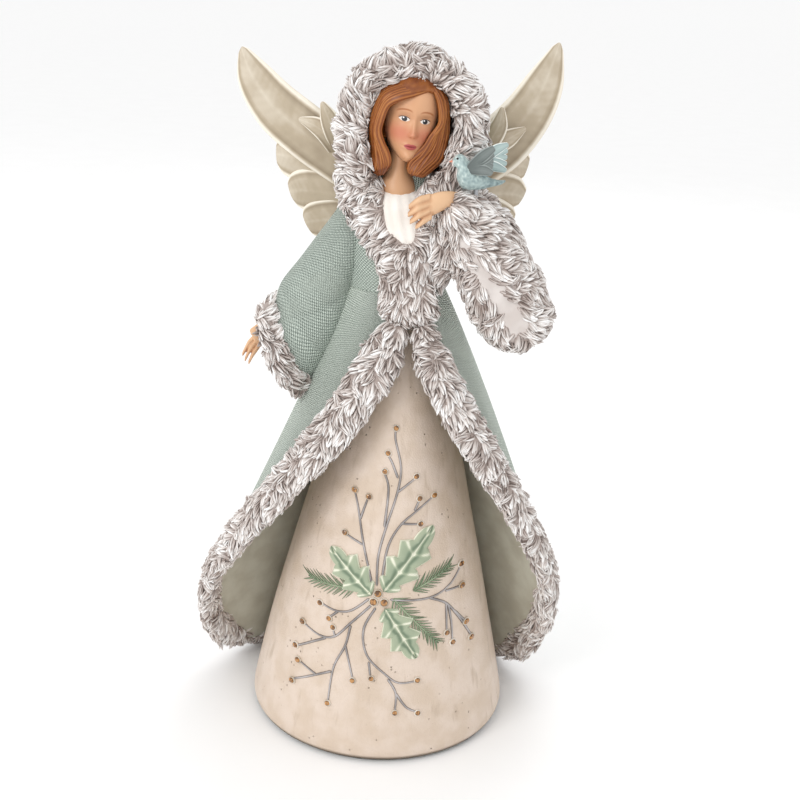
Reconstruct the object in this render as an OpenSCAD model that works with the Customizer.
// Winter angel figurine: a hollow cast gown inside a flared, fur-trimmed coat, with a
// hooded head, two bell sleeves, hands, feathered wings, a small bird on the raised
// forearm and a raised spray of holly, pine and berry twigs on the gown.
// The angel faces -Y, so its right side is -X. The origin is the centre of the base,
// on the surface that the figurine stands on.

/* [Gown] */
// Radius of the gown at its foot
gown_foot_r = 62; // [58:0.5:64]
// Wall thickness of the hollow cast gown
gown_wall = 5; // [4:0.5:7]
// Height that the holly, pine and twigs stand off the gown
relief_h = 1.2; // [0.8:0.1:1.6]

/* [Base] */
// Thickness of the felt pad under the base
felt_t = 1.5; // [1:0.25:2]
// Thickness of the plate that closes the gown
plate_t = 4; // [3:0.5:5]
// Radius of the casting hole in the plate
pour_r = 12; // [8:1:16]

/* [Coat] */
// Wall thickness of the coat skirt
coat_wall = 3; // [2:0.25:3.5]
// Depth of the folds in the coat skirt
fold_depth = 1.2; // [0:0.1:1.5]
// Number of folds round the coat skirt
fold_count = 9; // [5:1:12]

/* [Fur] */
// Width of the fur down the two front edges and round the hem
trim_w = 19; // [15:0.5:20]
// Thickness of that fur
trim_t = 10; // [8:0.5:11]
// Width of the fur round the hood
hood_fur_w = 16; // [13:0.5:17]

/* [Wings] */
// Radius of the pins that hold the wings
pin_r = 2.5; // [1.5:0.25:3]

/* [Hidden] */

sides = 18;          // points round a limb
gown_sides = 36;     // points round the gown
waist_z = 214;       // where the coat skirt is sewn to the bodice
waist_at = [-1, -5]; // centre of the waist
waist_r = [22, 18];  // half width and half depth of the waist
skirt_turns = 50;    // strips round the coat skirt
skirt_steps = 7;     // steps down the coat skirt
pin_len = 14;
pin_z = 244;
pin_x = 11;
pin_y = 5;           // where a wing pin starts, inside the bodice
gem_r = 1.6;
gem_h = 1.3;
berry_r = 2.1;
twig_r = 0.65;

// Gown sections: height, centre in X, half width, reach to the front, reach to the back
gown_rows = [
    [felt_t, 0, gown_foot_r, gown_foot_r, gown_foot_r - 2],
    [7, 0, gown_foot_r, gown_foot_r, gown_foot_r - 2],
    [25, 0, 58.5, 59, 55],
    [50, 0, 53, 55.5, 46],
    [80, 0.5, 46, 51.5, 38],
    [108, 1, 39, 47, 32],
    [130, 1.5, 33.5, 43, 27],
    [160, 2.5, 25, 36, 19],
    [185, 4.5, 16, 27.5, 12],
    [200, 5, 12, 22.5, 8],
    [waist_z, 6, 9, 18, 5]
];

// Lower edge of the coat: down the right front, round the back on the floor and up the
// left front
edge_points = [
    [3, -29, 205], [-4, -35, 190], [-14, -41, 173], [-26, -43, 155], [-44, -38, 131],
    [-63, -29, 103], [-79, -15, 76], [-85, -1, 50], [-82, 14, 26], [-70, 31, 10],
    [-53, 50, 9], [-28, 64, 9], [0, 68, 9], [28, 64, 9], [50, 50, 9],
    [65, 30, 10], [74, 14, 26], [80, -1, 50], [78, -16, 80], [64, -30, 111],
    [49, -38, 137], [36, -42, 158], [26, -41, 173], [17, -35, 189], [10, -29, 205]
];
edge_last = len(edge_points) - 1;

// Ends of the two fronts along that edge, counted in edge points
front_right_end = 9.2;
front_left_start = 14.8;

// Each berry gem on the gown: x, z
gem_spots = [
    [3, 157], [0, 146], [-1, 138], [13, 135.5], [-14, 127.5], [-7.5, 126],
    [21.5, 125.5], [15, 125.5], [16, 114], [-17.5, 107.5], [36, 89], [37, 79],
    [31, 60], [34, 54.5], [43, 52], [40, 61], [-27.5, 72], [-23, 66.5],
    [-21, 63], [-35.5, 59.5], [-38.5, 47], [-37, 41], [-39.5, 30], [-22, 26.5],
    [-11, 40], [-2.5, 42], [18.5, 40.5], [9, 25.5], [19.5, 24.5]
];
berry_spots = [[-1.3, 82.6], [-3.2, 78.6], [1.6, 78.6]];

// Each twig is a line of points x, z that ends at a gem
twig_lines = [
    [[-4, 86], [-9, 105], [-12, 120], [-14, 127]],
    [[-11, 115], [-8, 125]],
    [[-9, 104], [-17, 107]],
    [[-2, 86], [-2, 100], [1, 114], [5, 129], [6, 140], [3, 152], [3, 157]],
    [[5, 129], [13, 135]],
    [[5, 135], [2, 142], [0, 145]],
    [[0, 113], [1, 130], [-1, 137]],
    [[0, 88], [2, 104], [7, 114], [14, 120], [21, 125]],
    [[13, 120], [15, 125]],
    [[7, 115], [15, 114]],
    [[4, 80], [22, 79], [31, 82], [36, 88]],
    [[29, 80], [37, 79]],
    [[22, 79], [30, 74], [37, 64], [43, 53]],
    [[31, 73], [33, 64], [34, 55]],
    [[30, 74], [31, 61]],
    [[34, 69], [40, 61]],
    [[-5, 80], [-13, 73], [-20, 71], [-27, 72]],
    [[-19, 71], [-23, 67]],
    [[-4, 77], [-13, 67], [-20, 59], [-27, 57], [-35, 59]],
    [[-24, 57], [-30, 53], [-38, 47]],
    [[-20, 59], [-21, 62]],
    [[-13, 66], [-15, 56], [-20, 44], [-22, 27]],
    [[-15, 56], [-11, 41]],
    [[-21, 42], [-28, 38], [-39, 31]],
    [[-28, 38], [-37, 41]],
    [[-2, 76], [-7, 65], [-5, 53], [4, 44], [10, 40], [18, 40]],
    [[-4, 50], [-3, 43]],
    [[5, 42], [9, 35], [9, 26]],
    [[9, 35], [14, 28], [19, 25]]
];

// ---- curves and skins ----

function clamp_row(rows, i) = rows[max(0, min(len(rows) - 1, i))];

// Point at t along the smooth curve through the rows, with t counted in rows
function smooth_at(rows, t) =
    let (i = min(floor(t), len(rows) - 2), f = t - i)
    let (a = clamp_row(rows, i - 1), b = rows[i], c = rows[i + 1], d = clamp_row(rows, i + 2))
    0.5 * (2 * b + (c - a) * f + (2 * a - 5 * b + 4 * c - d) * f * f
        + (3 * b - a - 3 * c + d) * f * f * f);

function smooth_rows(rows, steps, from = 0, to = -1) =
    let (last = to < 0 ? len(rows) - 1 : to)
    [for (i = [0 : steps]) smooth_at(rows, from + (last - from) * i / steps)];

function unit(v) = v / norm(v);

function mean_point(ring) = [for (k = [0 : 2]) sum_axis(ring, k) / len(ring)];

function sum_axis(ring, k, i = 0) = i == len(ring) ? 0 : ring[i][k] + sum_axis(ring, k, i + 1);

// A row is a centre, the vector to the ring's side and the vector to its face
function ring_of(row, n) =
    [for (k = [0 : n - 1])
        let (a = 360 * k / n)
        [for (j = [0 : 2]) row[j] + row[3 + j] * cos(a) + row[6 + j] * sin(a)]];

// Closed skin over rings that run anticlockwise about the way they advance
module skin(rings) {
    n = len(rings[0]);
    m = len(rings);
    points = [for (r = rings) each r, mean_point(rings[0]), mean_point(rings[m - 1])];
    walls = [for (i = [0 : m - 2], k = [0 : n - 1])
        let (a = i * n + k, b = i * n + (k + 1) % n)
        each [[a, a + n, b + n], [a, b + n, b]]];
    start_cap = [for (k = [0 : n - 1]) [m * n, k, (k + 1) % n]];
    end_cap = [for (k = [0 : n - 1]) [m * n + 1, (m - 1) * n + (k + 1) % n, (m - 1) * n + k]];
    polyhedron(points = points, faces = concat(walls, start_cap, end_cap), convexity = 6);
}

// A limb is a smooth skin through its rows
module limb(rows, steps = 8, n = sides) {
    first = rows[0];
    next = rows[1];
    side = [first[3], first[4], first[5]];
    face = [first[6], first[7], first[8]];
    along = [for (j = [0 : 2]) next[j] - first[j]];
    turn = cross(side, face) * along > 0 ? 1 : -1;
    skin([for (r = smooth_rows(rows, steps))
        ring_of([for (j = [0 : 8]) j < 6 ? r[j] : turn * r[j]], n)]);
}

// Booleans between smooth skins are done on their meshes
module sculpted() {
    resize([0, 0, 0]) children();
}

// ---- gown ----

function gown_row(z) =
    let (hits = [for (i = [0 : len(gown_rows) - 2])
        if (z >= gown_rows[i][0] && z <= gown_rows[i + 1][0]) i])
    let (i = hits[0], a = gown_rows[i], b = gown_rows[i + 1])
    a + (b - a) * (z - a[0]) / (b[0] - a[0]);

function gown_ring(row, grow) =
    [for (k = [0 : gown_sides - 1])
        let (a = 360 * k / gown_sides, reach = sin(a) < 0 ? row[3] : row[4])
        [row[1] + (row[2] + grow) * cos(a), (reach + grow) * sin(a), row[0]]];

// The front of the gown at a place x, z
function gown_front(x, z) =
    let (row = gown_row(z), s = (x - row[1]) / row[2])
    -row[3] * sqrt(max(0, 1 - s * s));

module gown_form(grow = 0) {
    skin([for (row = gown_rows) gown_ring(row, grow)]);
}

module gown_hollow() {
    top = len(gown_rows) - 3;
    skin([for (i = [0 : top])
        let (row = gown_rows[i])
        gown_ring(i == 0 ? [for (j = [0 : 4]) j == 0 ? felt_t - 1 : row[j]] : row, -gown_wall)]);
}

module gown_shell() {
    color("linen") sculpted() difference() {
        gown_form();
        gown_hollow();
    }
}

// ---- base ----

plate_r = gown_foot_r - gown_wall - 3;

module felt_pad() {
    color("darkslategray") cylinder(r = gown_foot_r - 3, h = felt_t, $fn = 96);
}

module base_plate() {
    color("linen") translate([0, 0, felt_t]) difference() {
        cylinder(r = plate_r, h = plate_t, $fn = 96);
        translate([0, 0, -1]) cylinder(r = pour_r, h = plate_t + 2, $fn = 48);
    }
}

module pour_plug() {
    color("silver") translate([0, 0, felt_t]) cylinder(r = pour_r, h = plate_t, $fn = 48);
}

// ---- coat skirt ----

function azimuth(p) = atan2(p[0] - waist_at[0], -(p[1] - waist_at[1]));

function reach(p) = norm([p[0] - waist_at[0], p[1] - waist_at[1]]);

function waist_reach(az) =
    1 / norm([sin(az) / waist_r[0], cos(az) / waist_r[1]]);

// A place on the coat: u along its edge in edge points, v down from the waist, with
// inset measured inwards
function coat_point(u, v, inset) =
    let (e = smooth_at(edge_points, u), az = azimuth(e))
    let (flare = pow(v, 1 - 0.12 * sin(az)))
    let (fold = fold_depth * v * (1 - v * v * 0.5) * cos(360 * fold_count * u / edge_last))
    let (r = waist_reach(az) + (reach(e) - waist_reach(az)) * flare + fold - inset)
    [waist_at[0] + r * sin(az), waist_at[1] - r * cos(az), waist_z + (e[2] - waist_z) * v];

// Closed sheet between an outer and an inner grid of points, whose columns run
// anticlockwise seen from above and whose points run downwards
module sheet(outer, inner) {
    m = len(outer);
    n = len(outer[0]);
    half = m * n;
    points = [for (r = outer) each r, for (r = inner) each r];
    outside = [for (i = [0 : m - 2], j = [0 : n - 2])
        let (a = i * n + j)
        each [[a, a + n, a + n + 1], [a, a + n + 1, a + 1]]];
    inside = [for (f = outside) [half + f[0], half + f[2], half + f[1]]];
    top = [for (i = [0 : m - 2])
        let (a = i * n)
        each [[a, half + a + n, a + n], [a, half + a, half + a + n]]];
    foot = [for (i = [0 : m - 2])
        let (a = i * n + n - 1)
        each [[a, a + n, half + a + n], [a, half + a + n, half + a]]];
    start_edge = [for (j = [0 : n - 2])
        each [[j, j + 1, half + j + 1], [j, half + j + 1, half + j]]];
    end_edge = [for (j = [0 : n - 2])
        let (a = (m - 1) * n + j)
        each [[a, half + a + 1, a + 1], [a, half + a, half + a + 1]]];
    polyhedron(points = points,
        faces = concat(outside, inside, top, foot, start_edge, end_edge), convexity = 8);
}

function coat_grid(inset) =
    [for (i = [0 : skirt_turns])
        [for (j = [0 : skirt_steps])
            coat_point(edge_last * (1 - i / skirt_turns), j / skirt_steps, inset)]];

module coat_form() {
    sheet(coat_grid(0), coat_grid(coat_wall));
}

// Everything within the outside of the coat
module coat_block() {
    grid = coat_grid(0);
    skin([for (j = [skirt_steps : -1 : 0]) [for (i = [0 : skirt_turns]) grid[i][j]]]);
}

module coat_skirt() {
    color("lightblue") sculpted() difference() {
        coat_form();
        front_right_form();
        front_left_form();
        back_hem_form();
        waist_form();
    }
}

// Fur along the coat's edge from u0 to u1
module edge_fur(u0, u1, steps, width) {
    rows = [for (i = [0 : steps])
        let (u = u0 + (u1 - u0) * i / steps, p = smooth_at(edge_points, u))
        let (ahead = smooth_at(edge_points, min(u + 0.1, edge_last)))
        let (behind = smooth_at(edge_points, max(u - 0.1, 0)))
        let (along = unit(ahead - behind), az = azimuth(p))
        let (out = unit([sin(az), -cos(az), 0.35]))
        let (side = unit(cross(along, out)), face = cross(side, along))
        let (end_fade = min(1, 0.6 + 0.4 * min(i, steps - i) / 2))
        concat(p, side * width / 2 * end_fade, face * trim_t / 2 * end_fade)];
    limb(rows, steps = steps, n = 14);
}

module above_floor(z = 0.6) {
    intersection() {
        children();
        translate([-150, -150, z]) cube([300, 300, 400]);
    }
}

module front_right_form() { edge_fur(0.25, front_right_end, 22, trim_w); }

module front_left_form() { edge_fur(front_left_start, edge_last - 0.25, 22, trim_w - 1); }

module back_hem_form() { edge_fur(front_right_end - 0.3, front_left_start + 0.3, 16, trim_w - 1); }

module front_trim_right() {
    color("lavenderblush") sculpted() above_floor() difference() {
        front_right_form();
        waist_form();
    }
}

module front_trim_left() {
    color("lavenderblush") sculpted() above_floor() difference() {
        front_left_form();
        front_right_form();
        waist_form();
    }
}

module back_hem_trim() {
    color("lavenderblush") sculpted() above_floor() difference() {
        back_hem_form();
        front_right_form();
        front_left_form();
    }
}

// ---- bodice, blouse and waist ----

// A level section: height, centre x, y, half width, half depth
function level(row) = [row[1], row[2], row[0], row[3], 0, 0, 0, row[4], 0];

module stack(rows, steps, n = 28) {
    limb([for (r = rows) level(r)], steps = steps, n = n);
}

module bodice_form() {
    stack([[waist_z, -1, -5, 22, 18], [222, -1, -6, 21.5, 17], [234, 0, -5.5, 24, 17],
        [246, 1, -4, 26, 16], [255, 1.5, -3, 23, 14.5], [261, 1, -4, 15, 11],
        [265, 1, -5, 9, 8]], steps = 9, n = 24);
}

module waist_form() {
    stack([[202, 6, -27, 6, 3], [205, 6, -26.5, 11.5, 5], [212, 5, -25, 11.5, 5.5],
        [219, 4, -23.5, 11, 5], [226, 3, -23.5, 12, 5.5], [232, 2, -23, 12, 5.5],
        [236, 2, -23, 8, 4]], steps = 9, n = 20);
}

module blouse_form() {
    stack([[230, 4, -18, 6, 5], [238, 2, -19, 11, 8], [246, 0, -18, 12, 8],
        [252, -1, -15.5, 11, 8], [255, -1, -13, 6, 5]], steps = 6, n = 20);
}

module lapel_right_form() {
    limb([[-21, -12, 266, 8, -4, 2, 3, 6, 0], [-17, -16, 255, 9, -4, 4, 3, 6, 1],
        [-10, -20, 245, 8.5, -3, 5, 2, 5.5, 1], [-3, -23, 236, 7.5, -2, 6, 2, 5, 1],
        [2, -24, 230, 6, 0, 6, 1, 4, 1]], steps = 8, n = 14);
}

module lapel_left_form() {
    limb([[21, -14, 265, 8, 3, -1, -2, 6, 0], [16, -18, 255, 9.5, 3, -2, -2, 6, 1],
        [13, -21, 246, 9, 2, -3, -1, 5.5, 1], [10, -23, 238, 7.5, 1, -3, -1, 5, 1],
        [7, -24, 231, 6, 0, -2, 0, 4, 1]], steps = 8, n = 14);
}

module coat_bodice() {
    color("lightblue") sculpted() difference() {
        bodice_form();
        both_pins();
    }
}

module waist_fur() {
    color("lavenderblush") sculpted() difference() {
        waist_form();
        bodice_form();
    }
}

module blouse() {
    color("white") sculpted() difference() {
        blouse_form();
        bodice_form();
        waist_form();
    }
}

module lapel_right() {
    color("lavenderblush") sculpted() difference() {
        lapel_right_form();
        bodice_form();
        blouse_form();
        waist_form();
    }
}

module lapel_left() {
    color("lavenderblush") sculpted() difference() {
        lapel_left_form();
        lapel_right_form();
        bodice_form();
        blouse_form();
        waist_form();
    }
}

// ---- right sleeve, cuff and hand ----

module sleeve_right_form() {
    limb([[-11, -1, 252, 5, 0, -6, 0, 9, 0], [-18, -3, 243.5, 6, 0, -8, 0, 11, 0],
        [-25, -5, 228, 8, 0, -11, 0, 12, 0], [-33, -8, 211, 10, 0, -14, 0, 12.5, 0],
        [-40.5, -10.5, 197, 10.5, 0, -17, 1, 12, 0], [-44.5, -12.5, 188, 8.5, 0, -18, 2, 11, 0]],
        steps = 12);
}

module cuff_right_form() {
    limb([[-42, -11, 190, 7, 0, -16, 2, 9, 1], [-44, -12, 188, 9.5, 0, -21, 2.5, 12.5, 1],
        [-47.5, -14, 185.5, 10, 0, -22, 3, 13.5, 1], [-51, -16, 183, 9.5, 0, -21, 3, 13, 1],
        [-53, -17, 182, 7.5, 0, -16, 2, 9.5, 1]], steps = 8, n = 24);
}

// The dark inside of the open cuff
module cuff_right_hollow() {
    limb([[-42, -11, 190, 4, 0, -9, 1, 5, 0], [-50, -15.5, 184, 5.5, 0, -13, 1.5, 7, 0],
        [-60, -21, 178, 6, 0, -14, 2, 7.5, 0]], steps = 3, n = 16);
}

module hand_right_form() {
    limb([[-43, -12, 199, 2.5, 0, -2, 1, 2.6, 0], [-52, -16.5, 196, 3.2, 0, -3, 1, 3, 0],
        [-57, -20, 192, 3.5, 0, -4, 1.5, 2.5, 0], [-60.5, -23, 187.5, 3.2, 0, -3, 1.2, 1.8, 0],
        [-63.5, -25, 183.5, 2.2, 0, -1.6, 0.8, 1.2, 0], [-65, -26, 181.5, 0.8, 0, -0.6, 0.3, 0.6, 0]],
        steps = 10, n = 14);
}

module sleeve_right() {
    color("lightblue") sculpted() difference() {
        sleeve_right_form();
        bodice_form();
        coat_block();
        lapel_right_form();
        hand_right_form();
        cuff_right_hollow();
    }
}

module cuff_right() {
    color("lavenderblush") sculpted() difference() {
        cuff_right_form();
        sleeve_right_form();
        coat_block();
        hand_right_form();
        cuff_right_hollow();
    }
}

module hand_right() {
    color("bisque") sculpted() hand_right_form();
}

// ---- left sleeve and hand ----

module upper_arm_left_form() {
    limb([[14, -3, 252, 7, 0, 7, 0, 9, 0], [24, -5, 250, 8, 0, 9, 0, 11, 0],
        [35, -11, 241, 10, 0, 9, 0, 12, 0], [44, -17, 228, 11, 0, 7, 0, 12, 0],
        [52, -21, 212, 12, 0, 6, 0, 12, 0]], steps = 8);
}

module forearm_left_form() {
    limb([[20, -29.5, 256.5, 3.5, 0, 4.5, 0, 5, 0], [23, -29, 253.5, 5, 0, 6.5, 0, 7.5, 0],
        [31, -27, 243, 10, 0, 9, 0, 11, 0], [41, -25, 227, 13, 0, 9.5, 0, 13, 0],
        [50, -24, 211, 14, 0, 9, 0, 13, 0], [57, -24, 200, 11, 0, 7, 0, 11, 0],
        [60, -24, 195.5, 5, 0, 3.5, 0, 5, 0]], steps = 12);
}

module sleeve_left_form() {
    upper_arm_left_form();
    forearm_left_form();
}

module hand_left_form() {
    limb([[25, -29, 255, 1, 0, 3, 0, 2.5, 0], [20, -31.5, 256.5, 1, 0, 3.6, 0, 2.6, 0],
        [14, -33.5, 256, 0.5, 0, 4.6, 0.5, 2.6, 0], [9, -34.5, 254.5, 0, 0, 4, 0.5, 2, 0],
        [5.5, -34.5, 253.5, 0, 0, 1.8, 0, 1, 0]], steps = 8, n = 14);
}

module sleeve_left() {
    color("lavenderblush") sculpted() difference() {
        sleeve_left_form();
        bodice_form();
        waist_form();
        lapel_left_form();
        lapel_right_form();
        hand_left_form();
        bird_pin();
    }
}

module hand_left() {
    color("bisque") sculpted() difference() {
        hand_left_form();
        lapel_left_form();
        lapel_right_form();
        blouse_form();
        bodice_form();
    }
}

// ---- hood, head and hair ----

hood_at = [3, 4, 287];

// An egg shape: centre and its three half sizes
module egg(at, half, n = 24) {
    translate(at) scale(half) sphere(r = 1, $fn = n);
}

module hood_shell_form() {
    egg(hood_at, [29, 26, 29]);
    stack([[252, 1, 0, 25, 15], [258, 1.5, 1, 25, 17], [266, 2, 2, 24, 19],
        [276, 3, 3, 24, 21]], steps = 5);
}

module hood_hollow_form() {
    egg([2, -4, 287], [21, 21, 23]);
    egg([0, -16, 268], [13, 12, 16], 24);
}

module hood_fur_form() {
    w = hood_fur_w / 2;
    ring = [[-3, -20, 254], [-14, -18, 257], [-21, -15, 267], [-23.5, -13.5, 280], [-22, -13, 294],
        [-13, -12.5, 306.5], [2, -12, 311.5], [17, -12.5, 307], [27, -13, 296],
        [29, -13.5, 283], [26, -15, 270], [18, -19, 259], [8, -22, 254]];
    rows = [for (i = [1 : len(ring) - 2])
        let (p = ring[i], out = unit([p[0] - 3, 0, p[2] - 284]))
        let (fade = (i == 1 || i == len(ring) - 2) ? 0.8 : 1)
        concat(p, out * w * fade, [0, w * 1.15 * fade, 0])];
    limb(rows, steps = 26, n = 14);
}

// Head sections: height, centre x, y, half width, half depth
head_rows = [
    [252, -1, -11, 6, 6], [262, -1, -12, 5.6, 6], [268, 0, -13, 6, 7], [271, 0, -15, 6.5, 8.5],
    [275, 0.5, -14, 9, 11], [281, 1, -12, 11, 13], [288, 1.6, -10.5, 12, 14],
    [295, 2.2, -9, 12, 14], [301, 2.8, -8, 10, 12], [305, 3.2, -7, 6, 8], [307, 3.4, -7, 2, 3]
];

module head_form() { stack(head_rows, steps = 14, n = 20); }

module hair_form() {
    egg([2.5, -4, 289], [14.5, 15, 18.5], 22);
    limb([[3, -16, 305, 3, 0, 1, 0, 4, 0], [-4, -18.5, 301, 3, 0, 4, 0, 5, 0],
        [-9.5, -18.5, 292, 4.5, 0, 2, 0, 5.5, 0], [-11.5, -16.5, 281, 4.5, 0, 0, 0, 5.5, 0],
        [-10, -16.5, 269, 4, 0, 0, 0, 5.5, 0], [-7, -18, 260, 2.5, 0, -1, 0, 4, 0],
        [-4, -19, 256, 1, 0, -1, 0, 1, 0]], steps = 9, n = 9);
    limb([[6.3, -15.2, 302.6, 3, 0, 1, 0, 4, 0], [11, -18, 301, 3, 0, -3, 0, 5, 0],
        [15.5, -18, 292, 4, 0, -2, 0, 5.5, 0], [15.5, -16.5, 280, 4.5, 0, 0, 0, 5.5, 0],
        [13, -16.5, 269, 4, 0, 1, 0, 5.5, 0], [10, -18, 262, 3, 0, 2, 0, 4, 0],
        [6, -20, 258, 1, 0, 1, 0, 1, 0]], steps = 9, n = 9);
}

module hood_shell() {
    color("lightblue") sculpted() difference() {
        hood_shell_form();
        hood_hollow_form();
        bodice_form();
        sleeve_right_form();
        sleeve_left_form();
        hood_fur_form();
        lapel_right_form();
        lapel_left_form();
        translate([-60, -100, 240]) cube([120, 88, 100]);
    }
}

module hood_fur() {
    color("lavenderblush") sculpted() difference() {
        hood_fur_form();
        lapel_right_form();
        lapel_left_form();
        bodice_form();
        blouse_form();
        sleeve_left_form();
        head_form();
    }
}

module head() {
    color("bisque") sculpted() difference() {
        head_form();
        bodice_form();
        blouse_form();
    }
}

module hair() {
    color("sienna") sculpted() difference() {
        hair_form();
        head_form();
        egg([1, -26, 285], [9.5, 12, 15.5], 24);
        bodice_form();
        blouse_form();
        lapel_right_form();
        lapel_left_form();
        hood_fur_form();
    }
}

// ---- wings ----

// A feather blade: a line of points with a half width at each; its thin way faces the front
module feather(line, half_w, thick = 2.4, steps = 9) {
    rows = [for (i = [0 : len(line) - 1])
        let (p = line[i], q = line[min(i + 1, len(line) - 1)], o = line[max(i - 1, 0)])
        let (along = unit(q - o), side = unit(cross([0.15, 1, 0.1], along)))
        let (face = cross(along, side), t = thick * (1 - 0.55 * i / (len(line) - 1)))
        concat(p, side * half_w[i], face * t)];
    limb(rows, steps = steps, n = 8);
}

module wing_right_form() {
    feather([[-9, 18, 250], [-27, 27, 262], [-45, 34, 273], [-61, 39, 284.5], [-71.5, 42, 297.5], [-77, 44, 309.5]],
        [9, 11, 11.5, 10, 7, 1.5], 3.4, 12);
    feather([[-9, 18, 244], [-28, 29, 256], [-45, 36, 261], [-56, 40, 262], [-60, 42, 262]],
        [7, 10, 10, 7, 2], 3);
    feather([[-9, 18, 240], [-26, 28, 246], [-42, 35, 247], [-50, 38, 246], [-53, 40, 245]],
        [7, 9, 9, 6, 2], 3);
    feather([[-9.3, 18.2, 236], [-24, 27, 236], [-36, 33, 234], [-43, 36, 232], [-45, 37, 231]],
        [6, 8, 8, 5, 1.5], 2.8);
    feather([[-9.6, 18.4, 231.6], [-20, 25, 228], [-30, 30, 224], [-36, 32, 220], [-38, 33, 218]],
        [5, 7, 7, 4, 1.5], 2.6);
    feather([[-29, 28, 266], [-35, 25, 274], [-41, 26, 278], [-49, 30, 280]], [5, 5, 4, 0.8], 1.8, 6);
    feather([[-28, 27, 267], [-32, 23, 276], [-35, 22, 283], [-38, 23, 289]], [5, 5, 4, 0.8], 1.8, 6);
}

module wing_left_form() {
    feather([[12, 18, 250], [29, 27, 262], [44, 33, 273], [56, 38, 287], [63.5, 42, 302], [68.5, 45, 319]],
        [9, 11, 11.5, 9.5, 7, 1.5], 3.4, 12);
    feather([[12, 18, 244], [29, 28, 256], [43, 34, 262], [53, 38, 263], [58, 40, 262]],
        [7, 10, 10, 7, 2], 3);
    feather([[12, 18, 240], [28, 27, 247], [42, 33, 250], [52, 37, 250], [57, 39, 248]],
        [7, 9, 9, 6, 2], 3);
    feather([[12.3, 18.2, 236], [27, 26, 239], [40, 32, 240], [49, 35, 238], [53, 37, 237]],
        [6, 8, 8, 5, 1.5], 2.8);
    feather([[12.6, 18.4, 231.6], [25, 25, 231], [37, 30, 230], [45, 33, 229], [49, 35, 228]],
        [5, 7, 7, 4, 1.5], 2.6);
    feather([[32, 28, 267], [38, 23, 275], [42, 21, 283], [43, 22, 291]], [5, 5, 4, 0.8], 1.8, 6);
    feather([[33, 29, 265], [41, 26, 273], [48, 27, 277], [55, 31, 281]], [5, 5, 4, 0.8], 1.8, 6);
}

module wing_pin_shape(x) {
    translate([x, pin_y, pin_z]) rotate([-90, 0, 0]) cylinder(r = pin_r, h = pin_len, $fn = 32);
}

module both_pins() {
    wing_pin_shape(-pin_x);
    wing_pin_shape(pin_x + 3);
}

module wing_cuts() {
    bodice_form();
    hood_shell_form();
    hood_fur_form();
    sleeve_right_form();
    sleeve_left_form();
    coat_form();
    both_pins();
}

module wing_right() {
    color("antiquewhite") sculpted() difference() {
        wing_right_form();
        wing_cuts();
    }
}

module wing_left() {
    color("antiquewhite") sculpted() difference() {
        wing_left_form();
        wing_right_form();
        wing_cuts();
    }
}

module wing_pin_right() { color("silver") wing_pin_shape(-pin_x); }

module wing_pin_left() { color("silver") wing_pin_shape(pin_x + 3); }

// ---- bird ----

module bird_body_form() {
    limb([[20.6, -31.5, 273.5, 0, 0.8, 0, 0.2, 0, 0.8], [21.8, -31.5, 273.8, 0, 2.6, 0, 0.4, 0, 2.4],
        [24.6, -31, 273, 0, 3.2, 0, 0.8, 0, 3], [28, -30.5, 269.6, 0, 4, 0, 2.4, 0, 3.6],
        [32, -29.5, 267, 0, 4.6, 0, 2, 0, 4.2], [36, -28, 265.6, 0, 3.6, 0, 0.6, 0, 3],
        [40, -26.5, 265.2, 0, 2.4, 0, 0, 0, 1.4], [44, -25, 265.4, 0, 2.8, 0, 0, 0, 0.8],
        [45.5, -24.5, 265.5, 0, 1.4, 0, 0, 0, 0.4]], steps = 16, n = 14);
}

module bird_wing_near_form() {
    feather([[28.5, -33.5, 268.5], [31.5, -33, 273], [36, -31.5, 277.5], [41, -29.5, 280]],
        [3, 4.2, 3.4, 0.8], 1.1, 7);
}

module bird_wing_far_form() {
    feather([[30, -27, 269.5], [35, -24.5, 273.5], [40, -22, 276], [45, -20, 277]],
        [3, 4.4, 3.6, 0.8], 1.1, 7);
}

module bird_pin() {
    color("silver") translate([31, -29.5, 254]) cylinder(r = 0.9, h = 11, $fn = 24);
}

module bird_body() {
    color("cadetblue") sculpted() difference() {
        bird_body_form();
        bird_pin();
        sleeve_left_form();
    }
}

module bird_wing_near() {
    color("slategray") sculpted() difference() {
        bird_wing_near_form();
        bird_body_form();
    }
}

module bird_wing_far() {
    color("lightsteelblue") sculpted() difference() {
        bird_wing_far_form();
        bird_body_form();
    }
}

// ---- raised spray on the gown ----

// Stands a flat drawing, x across and y up, on the front of the gown
module on_gown(height) {
    sculpted() difference() {
        intersection() {
            gown_form(height);
            rotate([90, 0, 0]) linear_extrude(height = gown_foot_r + 20) children();
        }
        gown_form();
    }
}

module stroke(line, r) {
    for (i = [0 : len(line) - 2]) hull() {
        translate(line[i]) circle(r = r, $fn = 6);
        translate(line[i + 1]) circle(r = r, $fn = 6);
    }
}

module berry_discs(r) {
    for (p = berry_spots) translate(p) circle(r = r, $fn = 20);
}

module gem_discs(r) {
    for (p = gem_spots) translate(p) circle(r = r, $fn = 16);
}

// A holly leaf along +X: three spines a side and a pointed tip
function holly_half(length, width) =
    [for (k = [0 : 2])
        let (x = length * (0.16 + 0.26 * k), w = width / 2 * (1.05 - 0.22 * abs(k - 0.8)))
        each [[x, w * 0.6], [x + length * 0.10, w]]];

module holly_leaf(length, width) {
    upper = holly_half(length, width);
    n = len(upper);
    polygon(concat([[0, 0]], upper, [[length * 0.86, width * 0.2], [length, 0], [length * 0.86, -width * 0.2]],
        [for (i = [n - 1 : -1 : 0]) [upper[i][0], -upper[i][1]]]));
}

module leaf_upper_flat() { translate([1, 83.5]) rotate(54) holly_leaf(34, 15); }

module leaf_side_flat() { translate([-4, 81.5]) rotate(138) holly_leaf(25, 15); }

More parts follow.
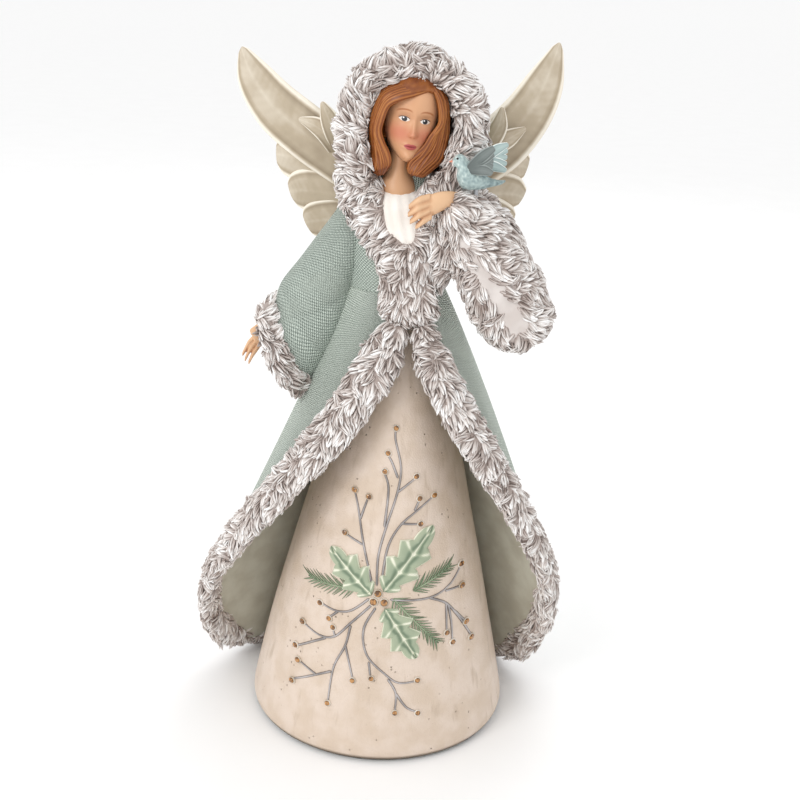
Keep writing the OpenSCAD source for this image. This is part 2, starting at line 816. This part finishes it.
module leaf_lower_flat() { translate([2, 76]) rotate(-58) holly_leaf(28, 14); }

// A pine sprig along +X: a stem with swept needles on both sides
module pine_sprig(length, needle, count) {
    stroke([[0, 0], [length, 0]], 0.6);
    for (i = [1 : count], way = [-1, 1])
        let (x = length * i / count - 2, a = 40 - 12 * i / count)
        let (dx = needle * cos(a), dy = way * needle * sin(a))
        polygon([[x - 0.6, 0], [x + dx, dy], [x + 0.7, 0]]);
}

module sprig_upper_flat() { translate([15, 84]) rotate(24) pine_sprig(17, 7, 8); }

module sprig_side_flat() { translate([-12, 83.4]) rotate(186.5) pine_sprig(22, 7, 10); }

module sprig_lower_flat() { translate([6, 80]) rotate(-48) pine_sprig(31, 7, 12); }

module twigs_flat() {
    for (line = twig_lines) stroke(line, twig_r);
}

module holly_leaf_upper() {
    color("darkseagreen") on_gown(relief_h) difference() {
        leaf_upper_flat();
        berry_discs(berry_r + 0.1);
        gem_discs(gem_r + 0.1);
    }
}

module holly_leaf_side() {
    color("darkseagreen") on_gown(relief_h) difference() {
        leaf_side_flat();
        leaf_upper_flat();
        berry_discs(berry_r + 0.1);
    }
}

module holly_leaf_lower() {
    color("darkseagreen") on_gown(relief_h) difference() {
        leaf_lower_flat();
        berry_discs(berry_r + 0.1);
    }
}

module leaves_flat() {
    leaf_upper_flat();
    leaf_side_flat();
    leaf_lower_flat();
}

module sprig_cut() {
    difference() {
        children();
        leaves_flat();
        twigs_flat();
        berry_discs(berry_r + 0.1);
        gem_discs(gem_r + 0.1);
    }
}

module pine_sprig_upper() { color("olivedrab") on_gown(relief_h * 0.7) sprig_cut() sprig_upper_flat(); }

module pine_sprig_side() { color("olivedrab") on_gown(relief_h * 0.7) sprig_cut() sprig_side_flat(); }

module pine_sprig_lower() { color("olivedrab") on_gown(relief_h * 0.7) sprig_cut() sprig_lower_flat(); }

module twigs() {
    color("gray") on_gown(relief_h * 0.8) difference() {
        twigs_flat();
        leaves_flat();
        berry_discs(berry_r + 0.1);
        gem_discs(gem_r + 0.1);
    }
}

// Puts a bead at x, z with its back on the gown
module bead_at(spot) {
    row = gown_row(spot[1]);
    front = gown_front(spot[0], spot[1]);
    turn = atan2((spot[0] - row[1]) / (row[2] * row[2]), -front / (row[3] * row[3]));
    translate([spot[0], front, spot[1]]) rotate([0, 0, turn]) rotate([78, 0, 0])
        translate([0, 0, 0.1]) children();
}

module gems() {
    color("peru") for (p = gem_spots) bead_at(p) cylinder(r1 = gem_r, r2 = gem_r * 0.6, h = gem_h, $fn = 24);
}

module berries() {
    color("rosybrown") for (p = berry_spots) bead_at(p)
        cylinder(r1 = berry_r, r2 = berry_r * 0.5, h = berry_r * 0.8, $fn = 24);
}

felt_pad();
base_plate();
pour_plug();
gown_shell();
coat_skirt();
front_trim_right();
front_trim_left();
back_hem_trim();
coat_bodice();
waist_fur();
blouse();
lapel_right();
lapel_left();
sleeve_right();
cuff_right();
hand_right();
sleeve_left();
hand_left();
hood_shell();
hood_fur();
head();
hair();
wing_right();
wing_left();
wing_pin_right();
wing_pin_left();
bird_body();
bird_wing_near();
bird_wing_far();
bird_pin();
holly_leaf_upper();
holly_leaf_side();
holly_leaf_lower();
pine_sprig_upper();
pine_sprig_side();
pine_sprig_lower();
twigs();
gems();
berries();
